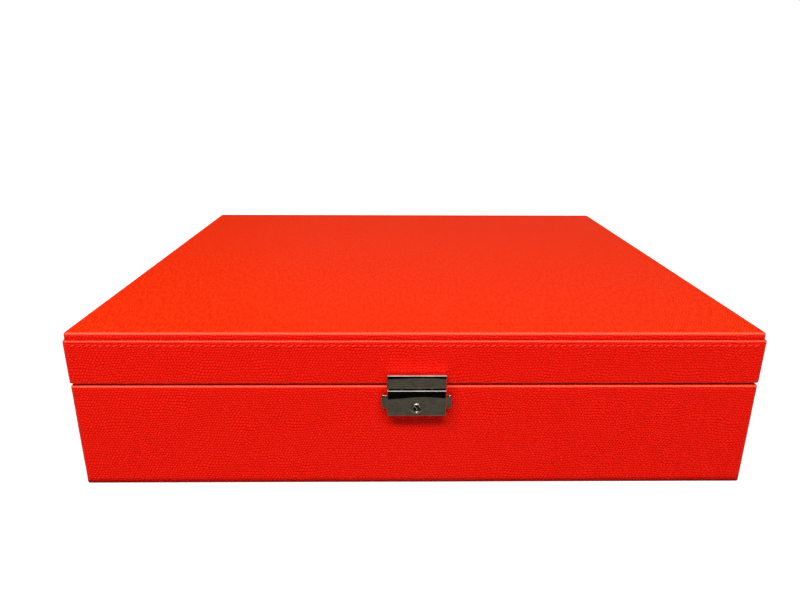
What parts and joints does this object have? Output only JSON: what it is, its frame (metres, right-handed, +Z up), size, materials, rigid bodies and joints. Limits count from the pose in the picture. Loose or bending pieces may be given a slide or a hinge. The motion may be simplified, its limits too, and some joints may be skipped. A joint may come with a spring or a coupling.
{
  "type": "poker case",
  "caption": "Leather-covered poker case with a hinged lid, a two-button press lock with a key core, and lift-out trays for chips, cards and dice.",
  "frame": {"origin": "centre of the base's underside, on the surface that the case stands on", "axes": "+X to the right, +Y from the lock towards the hinges, +Z up"},
  "size_m": [0.42, 0.3793, 0.103],
  "materials": {
    "leather": "fine pebbled grain, satin",
    "board": "bare fibreboard",
    "underside_sheet": "matt grained sheet",
    "suede": "short brushed nap",
    "gunmetal": "polished black nickel",
    "steel": "bright turned steel"
  },
  "bodies": {
    "base": {"base_front_board": "board", "base_rear_board": "board", "base_left_board": "board", "base_right_board": "board", "base_floor_board": "board", "base_leather": "leather", "base_underside": "underside_sheet", "base_liner_front": "suede", "base_liner_rear": "suede", "base_liner_left": "suede", "base_liner_right": "suede", "floor_lining": "suede", "chip_tray_left": "suede", "chip_tray_right": "suede", "centre_tray": "suede", "tray_pull_left": "leather", "tray_pull_centre": "leather", "tray_pull_right": "leather", "hinge_base_leaf_left": "gunmetal", "hinge_base_leaf_right": "gunmetal", "hinge_pin_left": "steel", "hinge_pin_right": "steel", "hinge_base_screws": "steel", "lock_housing": "gunmetal", "lock_backplate": "gunmetal", "lock_screws": "steel", "keyhole_ring": "steel", "button_spring_left": "steel", "button_spring_right": "steel"},
    "lid": {"lid_front_board": "board", "lid_rear_board": "board", "lid_left_board": "board", "lid_right_board": "board", "lid_top_board": "board", "lid_leather": "leather", "top_panel_board": "board", "top_panel_leather": "leather", "lid_liner_front": "suede", "lid_liner_rear": "suede", "lid_liner_left": "suede", "lid_liner_right": "suede", "lid_pad": "suede", "hinge_lid_leaf_left": "gunmetal", "hinge_lid_leaf_right": "gunmetal", "hinge_lid_screws": "steel", "hasp": "gunmetal", "hasp_screws": "steel"},
    "key_core": {"lock_core": "steel", "lock_cam": "steel", "core_clip": "steel"},
    "left_button": {"button_left": "gunmetal"},
    "right_button": {"button_right": "gunmetal"}
  },
  "joints": [
    {"name": "lid_hinge", "type": "hinge", "parent": "base", "child": "lid", "pos_m": [0, 0.1857, 0.0694], "axis": [-1, 0, 0], "range_deg": [0, 95]},
    {"name": "left_button_slide", "type": "slide", "parent": "base", "child": "left_button", "axis": [1, 0, 0], "range_m": [0, 0.0022], "stiffness_N_per_m": 300, "springref_m": -0.002, "deforming": ["button_spring_left"]},
    {"name": "right_button_slide", "type": "slide", "parent": "base", "child": "right_button", "axis": [-1, 0, 0], "range_m": [0, 0.0022], "stiffness_N_per_m": 300, "springref_m": -0.002, "deforming": ["button_spring_right"]},
    {"name": "key_turn", "type": "hinge", "parent": "base", "child": "key_core", "pos_m": [0, -0.183, 0.0571], "axis": [0, 1, 0], "range_deg": [0, 90]}
  ]
}
